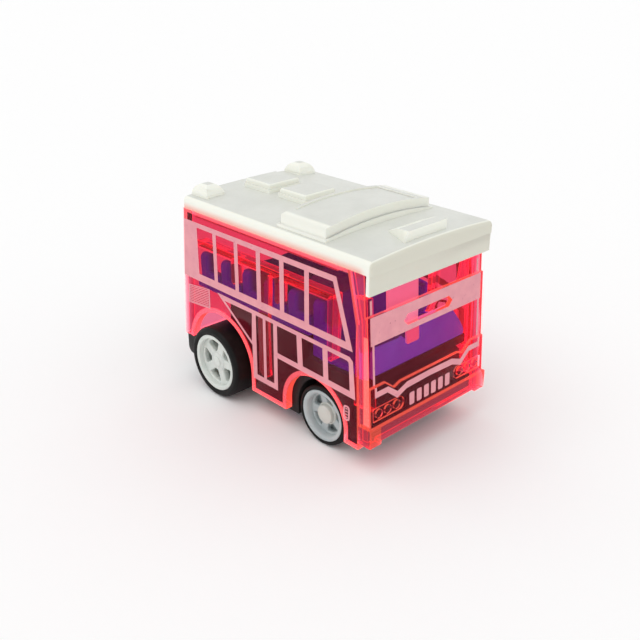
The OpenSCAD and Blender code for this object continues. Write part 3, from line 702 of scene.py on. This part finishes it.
rearHubLook = {
    "body": "rear_wheels", "joint": "rear_axle_spin", "rimFinish": hubWhite, "capFinish": hubWhite,
    "spokes": 5, "firstSpoke": 35, "spokeWidth": 1.9, "windowR": (2.25, 4.75), "windowCorner": 0.5,
    "plateX": (16.1, 17.4), "plateR": 5.4, "soft": 0.28, "steps": 72, "smooth": 40,
    "rim": [
        (6.08, 11.15), (6.08, 18.22), (6.02, 18.36), (5.9, 18.4), (5.42, 18.4), (5.28, 18.34),
        (5.2, 18.2), (5.15, 17.2), (5.05, 12.95), (1.9, 12.95), (1.9, 16.9), (0, 16.9), (0, 16.85),
        (1.02, 16.85), (1.02, 11.15), (2, 11.15), (2, 11.95), (5.1, 11.95), (5.25, 11.15),
    ],
    "cap": [
        (0, 16.5), (2.05, 16.5), (2.05, 17.35), (1.9, 17.52), (1.25, 17.58), (1.12, 17.66),
        (1.1, 17.8), (1.0, 17.88), (0.6, 17.9), (0, 17.9),
    ],
}
frontHubLook = {
    "body": "front_wheels", "joint": "front_axle_spin", "rimFinish": hubGrey, "capFinish": capGrey,
    "spokes": 5, "firstSpoke": -4, "spokeWidth": 1.6, "windowR": (2.05, 3.95), "windowCorner": 0.45,
    "plateX": (12.4, 13.5), "plateR": 4.7, "soft": 0.25, "steps": 72, "smooth": 40,
    "rim": [
        (5.24, 10.25), (5.24, 14.85), (5.18, 14.96), (5.05, 15.0), (4.75, 15.0), (4.55, 14.93),
        (4.38, 14.75), (4.25, 14.4), (4.2, 13.4), (4.1, 11.9), (1.8, 11.9), (1.8, 13.45), (0, 13.45),
        (0, 13.42), (0.92, 13.42), (0.92, 10.25), (1.9, 10.25), (1.9, 11.05), (4.2, 11.05), (4.4, 10.25),
    ],
    "cap": [
        (0, 12.8), (2.3, 12.8), (2.25, 13.5), (2.0, 13.65), (1.92, 13.9), (1.9, 14.15), (1.8, 14.32),
        (1.55, 14.4), (0, 14.4),
    ],
}


def besideSpoke(angle, reach, aside):
    # a point out along a spoke's middle line and to one side of it
    out = Vector((math.cos(angle), math.sin(angle)))
    across = Vector((-math.sin(angle), math.cos(angle)))
    return out * reach + across * aside


def spokeWindows(look):
    # one window between each spoke and the next
    half = look["spokeWidth"] / 2
    near, far = (math.sqrt(radius ** 2 - half ** 2) for radius in look["windowR"])
    step = 360 / look["spokes"]
    loops = []
    for i in range(look["spokes"]):
        first = math.radians(look["firstSpoke"] + i * step)
        second = math.radians(look["firstSpoke"] + (i + 1) * step)
        corners = [
            besideSpoke(first, near, half), besideSpoke(first, far, half),
            besideSpoke((first + second) / 2, look["windowR"][1], 0),
            besideSpoke(second, far, -half), besideSpoke(second, near, -half),
        ]
        loops.append(roundedLoop(corners, look["windowCorner"]))
    return loops


def addHub(label, look):
    place = axleAt(look["joint"])
    rim = turned("rim", look["rim"], place, look["steps"])
    dress(rim, look["rimFinish"])
    x0, x1 = look["plateX"]
    loops = [circleLoop(look["plateR"], look["steps"])] + spokeWindows(look)
    plate = flatPlate("plate", loops, x1 - x0, look["soft"])
    standOnSide(plate, (x0 + x1) / 2, place)
    dress(plate, look["rimFinish"])
    cap = turned("cap", look["cap"], place, look["steps"])
    dress(cap, look["capFinish"])
    right = joined(label + "_right_dressed", rim, plate, cap)
    smoothByAngle(right, look["smooth"])
    left = mirrored(right, label + "_left_dressed")
    finishPiece(right, look["body"], "hub_white", label + "_right")
    finishPiece(left, look["body"], "hub_white", label + "_left")


addHub("rear_hub", rearHubLook)
addHub("front_hub", frontHubLook)

rearTyreLook = {
    "body": "rear_wheels", "joint": "rear_axle_spin", "hole": 6.12, "holeEdge": 0.1, "outside": 7.6,
    "x": (10.8, 18.5), "shoulder": 0.8, "shoulderSteps": 6, "treadRings": (0.3, 0.5, 0.7),
    "steps": 96, "smooth": 50,
}
frontTyreLook = {
    **rearTyreLook, "body": "front_wheels", "joint": "front_axle_spin", "hole": 5.28, "outside": 6.1,
    "x": (9.9, 15.1), "shoulder": 0.6,
}


def tyreOutline(look):
    x0, x1 = look["x"]
    hole = look["hole"]
    edge = look["holeEdge"]
    bend = look["shoulder"]
    flat = look["outside"] - bend
    turns = [k / look["shoulderSteps"] * math.pi / 2 for k in range(look["shoulderSteps"] + 1)]
    inner = [(flat + bend * math.sin(turn), x0 + bend - bend * math.cos(turn)) for turn in turns]
    tread = [(look["outside"], x0 + (x1 - x0) * share) for share in look["treadRings"]]
    outer = [(flat + bend * math.cos(turn), x1 - bend + bend * math.sin(turn)) for turn in turns]
    return [(hole, x0)] + inner + tread + outer + [(hole + edge, x1), (hole, x1 - edge)]


def addTyre(label, look):
    right = turned(label + "_right_dressed", tyreOutline(look), axleAt(look["joint"]), look["steps"])
    dress(right, tyreRubber)
    smoothByAngle(right, look["smooth"])
    left = mirrored(right, label + "_left_dressed")
    finishPiece(right, look["body"], "tyre_black", label + "_right")
    finishPiece(left, look["body"], "tyre_black", label + "_left")


addTyre("rear_tyre", rearTyreLook)
addTyre("front_tyre", frontTyreLook)
print("wheels done")


# thin rims on the clear sides that carry a painted glow, for the light that gathers at the plastic's edges:
# along the sill and arches, the tail, the eaves and the front corner

rimLook = {
    "x": 16.1, "gap": 0.01, "thick": 0.04, "from": 0.05, "width": 1.0, "paintedGlow": 0.55,
    "sillZ": 4.15, "noseY": -24.2, "tailFoot": (27.75, 9.5), "tailTop": (25.65, 38.15), "tailWidth": 1.3,
    "eavesWidth": 0.7, "eavesFront": -21.0, "eavesGap": 0.05, "archSteps": 28,
    "rearArch": {"at": (15.2, 8.0), "r": 9.8, "start": 8.2},
    "frontArch": {"at": (-12.9, 6.3), "r": 7.9, "start": 0.0},
    "corner": [(-27.05, 10.0), (-25.95, 27.0), (-25.05, 27.0), (-25.6, 10.0)], "cornerPaintedGlow": 0.85,
}


def archPoints(arch, grow, steps):
    # over the wheel from its rear to its front
    y, z = arch["at"]
    radius = arch["r"] + grow
    start = math.radians(arch["start"])
    angles = [start + (math.pi - start) * k / steps for k in range(steps + 1)]
    return [(y + radius * math.cos(angle), z + radius * math.sin(angle)) for angle in angles]


def rimPath(look, grow):
    z = look["sillZ"] + grow
    rear = archPoints(look["rearArch"], grow, look["archSteps"])
    fore = archPoints(look["frontArch"], grow, look["archSteps"])
    return rear + [(rear[-1][0], z), (fore[0][0], z)] + fore + [(fore[-1][0], z), (look["noseY"], z)]


def rimLoops(look):
    footY, footZ = look["tailFoot"]
    topY, topZ = look["tailTop"]
    wide = look["tailWidth"]
    front = look["eavesFront"]
    eavesZ = topZ - look["eavesWidth"]
    sill = rimPath(look, look["from"]) + list(reversed(rimPath(look, look["width"])))
    tail = [(footY, footZ), (topY, topZ), (topY - wide, topZ), (footY - wide, footZ)]
    eaves = [(topY - wide - look["eavesGap"], topZ), (front, topZ), (front, eavesZ), (topY - wide, eavesZ)]
    return [sill, tail, eaves]


def addPaintedGlowRims(name, loops, paintedGlow, look):
    right = flatPlate(name + "_right", loops, look["thick"])
    standOnSide(right, look["x"] + look["thick"] / 2 + look["gap"])
    # painted glow over the whole rim
    markPaintedGlow(right, lambda face: paintedGlow)
    dress(right, clearPink)
    left = mirrored(right, name + "_left")
    for piece in (right, left):
        finishPiece(piece, "bus", "clear_pink")


addPaintedGlowRims("side_painted_glow_rims", rimLoops(rimLook), rimLook["paintedGlow"], rimLook)
addPaintedGlowRims("corner_painted_glow_rim", [rimLook["corner"]], rimLook["cornerPaintedGlow"], rimLook)
print("rims done")


# printed lines on the sides: (y, z) loops, where an inner loop is a window

sidePrint = {
    "x": 16.16, "thick": 0.03,
    "band": [(25.6, 35.9), (-18.37, 36.05), (-22.61, 23.29), (26.65, 23.3)],
    "windowZ": (24.95, 34.9),
    "windows": [(21.35, 16.2), (15.1, 9.5), (8.4, 2.9), (1.7, -3.7), (-4.9, -10.4)],
    "frontWindow": [(-11.6, 34.9), (-17.63, 34.93), (-20.91, 24.69), (-11.6, 24.8)],
    "lower": [
        (15.64, 22.59), (-21.9, 22.1), (-22.7, 21.45), (-23.47, 14.1), (-2.7, 14.6), (-2.7, 7.4),
        (4.7, 7.4), (4.76, 14.68),
    ],
    "panes": [
        [(13.16, 21.47), (4.63, 21.55), (4.92, 15.46)],
        [(3.5, 21.55), (1.4, 21.5), (1.4, 8.6), (3.5, 8.6)],
        [(0.6, 21.5), (-1.65, 21.5), (-1.65, 8.6), (0.6, 8.6)],
        [(-2.75, 21.45), (-8.2, 21.4), (-8.5, 15.6), (-2.75, 15.7)],
        [(-9.6, 21.4), (-15.1, 21.3), (-15.4, 15.5), (-9.9, 15.6)],
        [(-16.4, 21.3), (-21.3, 21.15), (-21.7, 20.9), (-22.1, 15.4), (-16.7, 15.5)],
    ],
}
ventPrint = {
    "corners": [(25.43, 21.56), (18.12, 22.45), (18.20, 18.05), (25.89, 17.30)],
    "border": 0.42, "barGap": 0.01, "bars": 10, "barSpan": (0.35, 0.85),
}
markerPrint = {
    "y": (-22.2, -20.6), "z": (9.06, 12.18), "corner": 0.75, "border": 0.38, "innerCorner": 0.4,
    "bars": 4, "barStart": 0.3, "barShare": 0.4, "barInset": 0.12, "barCorner": 0.08,
}


def ventLoops(look):
    # a frame, and bars between its front and rear edges that end just short of it
    corners = [Vector(corner) for corner in look["corners"]]
    middle = sum(corners, Vector((0, 0))) / len(corners)
    inner = [corner + (middle - corner).normalized() * look["border"] for corner in corners]
    loops = [[tuple(corner) for corner in corners], [tuple(corner) for corner in inner]]
    rearTop, foreTop, foreFoot, rearFoot = [corner.lerp(middle, look["barGap"]) for corner in inner]
    for i in range(look["bars"]):
        start, end = ((i + share) / look["bars"] for share in look["barSpan"])
        bar = [rearTop.lerp(rearFoot, start), foreTop.lerp(foreFoot, start),
               foreTop.lerp(foreFoot, end), rearTop.lerp(rearFoot, end)]
        loops.append([tuple(corner) for corner in bar])
    return loops


def inset(span, border):
    return span[0] + border, span[1] - border


def markerLoops(look):
    # a rounded frame with short bars in it
    innerY = inset(look["y"], look["border"])
    innerZ = inset(look["z"], look["border"])
    outside = roundedBox(look["y"], look["z"], look["corner"])
    inside = roundedBox(innerY, innerZ, look["innerCorner"])
    loops = [outside, inside]
    step = (innerZ[1] - innerZ[0]) / look["bars"]
    for i in range(look["bars"]):
        low = innerZ[0] + (i + look["barStart"]) * step
        high = low + look["barShare"] * step
        loops.append(roundedBox(inset(innerY, look["barInset"]), (low, high), look["barCorner"]))
    return loops


def addSidePrint(look):
    z0, z1 = look["windowZ"]
    windows = [[(y0, z1), (y1, z1), (y1, z0), (y0, z0)] for y0, y1 in look["windows"]]
    loops = [look["band"], look["frontWindow"], look["lower"]] + windows + look["panes"]
    loops += ventLoops(ventPrint) + markerLoops(markerPrint)
    right = flatPlate("side_print_right", loops, look["thick"])
    standOnSide(right, look["x"] + look["thick"] / 2)
    dress(right, ink)
    left = mirrored(right, "side_print_left")
    for piece in (right, left):
        finishPiece(piece, "bus", "clear_pink")


addSidePrint(sidePrint)


# printed lines on the raked front: (x, height) loops at a depth from the face, positive inwards

frontFace = {"low": (-26.9, 10), "high": (-25.1, 38.2)}
frontPrint = {
    "thick": 0.03, "faceDepth": -0.02, "proudDepth": -0.43, "screenDepth": 0.38,
    "band": [(-15.3, 25.2), (15.3, 25.2), (15.3, 30.4), (-15.3, 30.4)],
    "slot": [(-6.75, 27.35), (-5.75, 28.4), (5.75, 28.4), (6.75, 27.35), (5.75, 26.3), (-5.75, 26.3)],
    "uprights": [(-14.9, -14.4), (14.4, 14.9)], "faceZ": (17.7, 25.2), "screenZ": (30.7, 33.3),
    "zigzagTop": [(0, 15.7), (6.4, 15.6), (9.0, 14.65), (11.45, 16.5), (14.4, 16.5)],
    "zigzagFoot": [(0, 14.5), (6.6, 14.3), (9.1, 13.35), (11.65, 15.4), (14.9, 15.4)],
    "endZ": 17.35,
    "bars": {"x": (-5.8, 5.8), "z": (10.5, 13.0), "count": 6, "width": 1.35, "corner": 0.3},
}


def standOnFront(piece, depth):
    # the plate's (u, v) become x and the height, and its face looks out of the front
    y0, z0 = frontFace["low"]
    y1, z1 = frontFace["high"]
    up = Vector((0, y1 - y0, z1 - z0)).normalized()
    across = Vector((1, 0, 0))
    out = across.cross(up)
    turn = Matrix((across, up, out)).transposed().to_4x4()
    turn.translation = (Vector((0, y0, z0)) - up * z0 - out * depth) * mm
    settle(piece, turn)


def uprightLoops(look, z):
    return [[(x0, z[0]), (x1, z[0]), (x1, z[1]), (x0, z[1])] for x0, x1 in look["uprights"]]


def bothHalves(points):
    return [(-x, z) for x, z in reversed(points) if x > 0] + points


def zigzagLoop(look):
    innerX = look["zigzagTop"][-1][0]
    outerX = look["zigzagFoot"][-1][0]
    endZ = look["endZ"]
    leftEnd = [(-outerX, endZ), (-innerX, endZ)]
    rightEnd = [(innerX, endZ), (outerX, endZ)]
    foot = bothHalves(look["zigzagFoot"])
    return leftEnd + bothHalves(look["zigzagTop"]) + rightEnd + list(reversed(foot))


def barLoops(bars):
    x0, x1 = bars["x"]
    pitch = (x1 - x0 - bars["width"]) / (bars["count"] - 1)
    starts = [x0 + i * pitch for i in range(bars["count"])]
    return [roundedBox((start, start + bars["width"]), bars["z"], bars["corner"]) for start in starts]


def addFrontPrint(look):
    face = [look["band"], look["slot"]] + uprightLoops(look, look["faceZ"])
    screen = uprightLoops(look, look["screenZ"])
    lower = [zigzagLoop(look)] + barLoops(look["bars"])
    prints = {
        "front_print_band": (face, look["faceDepth"]),
        "front_print_screen": (screen, look["screenDepth"]),
        "front_print_lower": (lower, look["proudDepth"]),
    }
    for name, (loops, depth) in prints.items():
        piece = flatPlate(name, loops, look["thick"])
        standOnFront(piece, depth)
        dress(piece, ink)
        finishPiece(piece, "bus", "clear_pink")


addFrontPrint(frontPrint)
print("printed lines done")


# thin plates behind the front: the roof's tongue, which hangs behind the screen and ends in the
# dashboard's gap, and the raised front edge of the base, just in front of the dashboard's foot

tongueLook = {
    "depth": 1.86, "thick": 0.5, "soft": 0.08, "corner": 0.5, "smooth": 40,
    "wideX": (-9.4, -1.3), "footX": (-4.6, -1.2), "footZ": 21.6, "stepZ": 25.3, "topZ": 38.25,
}
noseEdgeLook = {
    "depth": 1.96, "thick": 0.24, "soft": 0.05, "corner": 0.2, "smooth": 40,
    "halfX": 12.9, "z": (16.4, 18.1),
}


def addBehindFront(name, loop, look, material, slot):
    piece = flatPlate(name, [loop], look["thick"], look["soft"])
    standOnFront(piece, look["depth"])
    dress(piece, material)
    smoothByAngle(piece, look["smooth"])
    finishPiece(piece, "bus", slot)


def tongueLoop(look):
    wide0, wide1 = look["wideX"]
    foot0, foot1 = look["footX"]
    wide = [(wide0, look["topZ"]), (wide1, look["topZ"]), (wide1, look["stepZ"])]
    foot = [(foot1, look["stepZ"]), (foot1, look["footZ"]), (foot0, look["footZ"]), (foot0, look["stepZ"])]
    return roundedLoop(wide + foot + [(wide0, look["stepZ"])], look["corner"])


def noseEdgeLoop(look):
    return roundedBox((-look["halfX"], look["halfX"]), look["z"], look["corner"])


addBehindFront("roof_tongue", tongueLoop(tongueLook), tongueLook, tongueWhite, "roof_white")
addBehindFront("base_nose_edge", noseEdgeLoop(noseEdgeLook), noseEdgeLook, baseBlack, "base_black")
print("plates behind the front done")


# inner works keep their CAD shape and get their own finish

innerFinish = {
    "motor_case_left": baseBlack, "motor_case_right": baseBlack,
    "spring_gear": gearWhite, "transfer_gear": gearWhite, "axle_pinion": gearWhite,
    "mainspring": steel, "rear_axle": steel, "front_axle": steel, "chassis_screws": steel,
}


def dressNode(node, material):
    # the mesh itself is left alone
    slots = nodes[node].data.materials
    slots.clear()
    slots.append(material)


for node, material in innerFinish.items():
    dressNode(node, material)
print("inner works done")


# stage: a pale floor, an even white surround and one large soft lamp

stageLook = {
    "floorHalf": 4.0, "floorColour": (0.99, 0.99, 0.99), "floorRough": 0.9, "floorShine": 0.1,
    "skyLevel": 0.86, "sunFrom": (-0.5, 0.1, 1.0), "sunSpread": 50, "sunLevel": 0.5,
}


def addFloor(look):
    bpy.ops.object.select_all(action="DESELECT")
    bpy.ops.mesh.primitive_plane_add(size=2 * look["floorHalf"])
    floor = bpy.context.object
    floor.name = "floor"
    material, _, shader = newMaterial("paleFloor")
    shader.inputs["Base Color"].default_value = (*look["floorColour"], 1)
    shader.inputs["Roughness"].default_value = look["floorRough"]
    shader.inputs["Specular IOR Level"].default_value = look["floorShine"]
    dress(floor, material)


def larger(tree, first, second):
    node = tree.nodes.new("ShaderNodeMath")
    node.operation = "MAXIMUM"
    tree.links.new(first, node.inputs[0])
    tree.links.new(second, node.inputs[1])
    return node.outputs[0]


def addSky(look):
    # white where it is seen directly, in a gloss or through the plastic, and dimmer as a light
    world = bpy.data.worlds.new("surround")
    bpy.context.scene.world = world
    world.use_nodes = True
    tree = world.node_tree
    background = tree.nodes["Background"]
    background.inputs["Color"].default_value = (1, 1, 1, 1)
    path = tree.nodes.new("ShaderNodeLightPath").outputs
    seenThrough = larger(tree, path["Is Camera Ray"], path["Is Transmission Ray"])
    seen = larger(tree, seenThrough, path["Is Glossy Ray"])
    level = rangeOf(tree, seen, look["skyLevel"], 1.0, 0, 1)
    tree.links.new(level, background.inputs["Strength"])


def addLamp(look):
    bpy.ops.object.light_add(type="SUN")
    lamp = bpy.context.object
    lamp.data.angle = math.radians(look["sunSpread"])
    lamp.data.energy = look["sunLevel"]
    lamp.rotation_mode = "QUATERNION"
    lamp.rotation_quaternion = (-Vector(look["sunFrom"])).to_track_quat("-Z", "Y")


addFloor(stageLook)
addSky(stageLook)
addLamp(stageLook)
bpy.context.scene.view_settings.view_transform = "Standard"
print("stage done")
